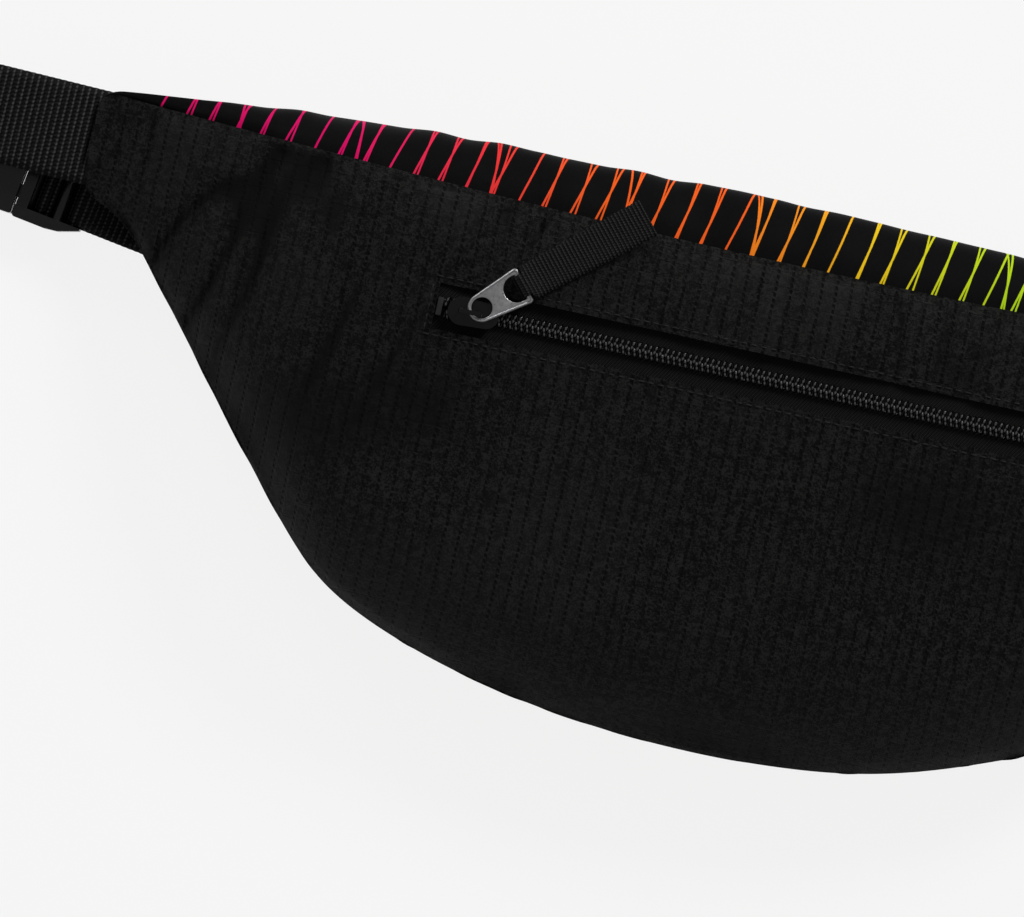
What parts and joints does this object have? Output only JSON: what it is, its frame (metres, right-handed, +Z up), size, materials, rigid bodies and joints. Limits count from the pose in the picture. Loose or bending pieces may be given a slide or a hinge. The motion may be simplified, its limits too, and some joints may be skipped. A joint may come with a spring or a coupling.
{
  "type": "waist pack",
  "caption": "Soft zippered waist pack lying on its front, with a lifting flap at its mouth, a flat back pocket and a webbing belt closed by a side-release buckle.",
  "frame": {"origin": "centre of the bounding box in X and Y, on the surface the pack lies on", "axes": "+X from the wing tip with the buckle towards the other wing tip, +Y from the belly towards the top strip, +Z up through the back panel"},
  "size_m": [0.5464, 0.1453, 0.0516],
  "materials": {
    "back_cloth": "matt black ripstop",
    "print_cloth": "smooth black cloth with a crossing-line print",
    "lining_cloth": "thin dark grey lining",
    "binding_tape": "folded binding tape",
    "zip_tape": "woven zipper tape",
    "zip_coil": "nylon coil",
    "zip_stop": "moulded end stop",
    "slider_metal": "black lacquered zinc",
    "puller_metal": "silver plated zinc",
    "ribbon": "ribbed grosgrain",
    "webbing": "ribbed polypropylene webbing",
    "keeper_elastic": "woven elastic",
    "buckle_plastic": "glossy black acetal"
  },
  "bodies": {
    "pack": {"back_panel": "back_cloth", "front_panel": "print_cloth", "top_strip_left": "print_cloth", "top_strip_right": "print_cloth", "zip_end_tabs": "print_cloth", "main_lining": "lining_cloth", "pocket_lining": "lining_cloth", "inner_slip_pocket": "lining_cloth", "hem_binding": "binding_tape", "back_zip_tape_upper": "zip_tape", "back_zip_tape_lower": "zip_tape", "back_zip_coil_upper": "zip_coil", "back_zip_coil_lower": "zip_coil", "back_zip_stops": "zip_stop", "main_zip_tape_lower": "zip_tape", "main_zip_tape_upper_ends": "zip_tape", "main_zip_coil_lower": "zip_coil", "main_zip_coil_upper_ends": "zip_coil", "main_zip_stops": "zip_stop", "belt_short": "webbing", "belt_long": "webbing", "buckle_socket": "buckle_plastic"},
    "main_flap": {"top_strip_middle": "print_cloth", "strip_lining": "lining_cloth", "main_zip_tape_upper": "zip_tape", "main_zip_coil_upper": "zip_coil"},
    "back_slider": {"back_slider": "slider_metal"},
    "back_puller": {"back_puller": "puller_metal"},
    "back_ribbon": {"back_ribbon": "ribbon"},
    "main_slider": {"main_slider": "slider_metal"},
    "main_puller": {"main_puller": "puller_metal"},
    "main_ribbon": {"main_ribbon": "ribbon"},
    "buckle_male": {"buckle_plug": "buckle_plastic", "adjuster_webbing": "webbing"},
    "keeper": {"strap_keeper": "keeper_elastic"},
    "prong_upper": {"buckle_prong_upper": "buckle_plastic"},
    "prong_lower": {"buckle_prong_lower": "buckle_plastic"}
  },
  "joints": [
    {"name": "back_slide", "type": "slide", "parent": "pack", "child": "back_slider", "axis": [1, 0, 0], "range_m": [0, 0.158]},
    {"name": "back_pull", "type": "hinge", "parent": "back_slider", "child": "back_puller", "pos_m": [-0.0793, 0.0267, 0.0491], "axis": [0.6561, -0.7547, 0], "range_deg": [0, 120]},
    {"name": "back_ribbon_swing", "type": "hinge", "parent": "back_puller", "child": "back_ribbon", "pos_m": [-0.06796, 0.03656, 0.04831], "axis": [0.6561, -0.7547, 0], "range_deg": [0, 75]},
    {"name": "main_slide", "type": "slide", "parent": "pack", "child": "main_slider", "axis": [1, 0, 0], "range_m": [0, 0.26]},
    {"name": "main_pull", "type": "hinge", "parent": "main_slider", "child": "main_puller", "pos_m": [-0.1313, 0.06549, 0.01396], "axis": [0.1564, -0.6984, -0.6984], "range_deg": [0, 120]},
    {"name": "main_ribbon_swing", "type": "hinge", "parent": "main_puller", "child": "main_ribbon", "pos_m": [-0.14616, 0.06383, 0.0123], "axis": [0.1564, -0.6984, -0.6984], "range_deg": [0, 75]},
    {"name": "flap_lift", "type": "hinge", "parent": "pack", "child": "main_flap", "pos_m": [0, 0.0579, 0.03956], "axis": [1, 0, 0], "range_deg": [0, 60]},
    {"name": "buckle_pull_out", "type": "slide", "parent": "pack", "child": "buckle_male", "axis": [0.9877, -0.1564, 0], "range_m": [0, 0.027], "deforming": ["belt_long"]},
    {"name": "keeper_slide", "type": "slide", "parent": "buckle_male", "child": "keeper", "axis": [0.9877, -0.1564, 0], "range_m": [-0.002, 0.01]},
    {"name": "prong_upper_press", "type": "hinge", "parent": "buckle_male", "child": "prong_upper", "pos_m": [-0.20289, 0.05205, 0.0057], "axis": [0, 0, 1], "range_deg": [0, 5], "stiffness_Nm_per_rad": 0.05},
    {"name": "prong_lower_press", "type": "hinge", "parent": "buckle_male", "child": "prong_lower", "pos_m": [-0.20583, 0.03348, 0.0057], "axis": [0, 0, -1], "range_deg": [0, 5], "stiffness_Nm_per_rad": 0.05}
  ],
  "couplings": [
    {"joint": "prong_lower_press", "follows": "prong_upper_press", "ratio": 1}
  ]
}
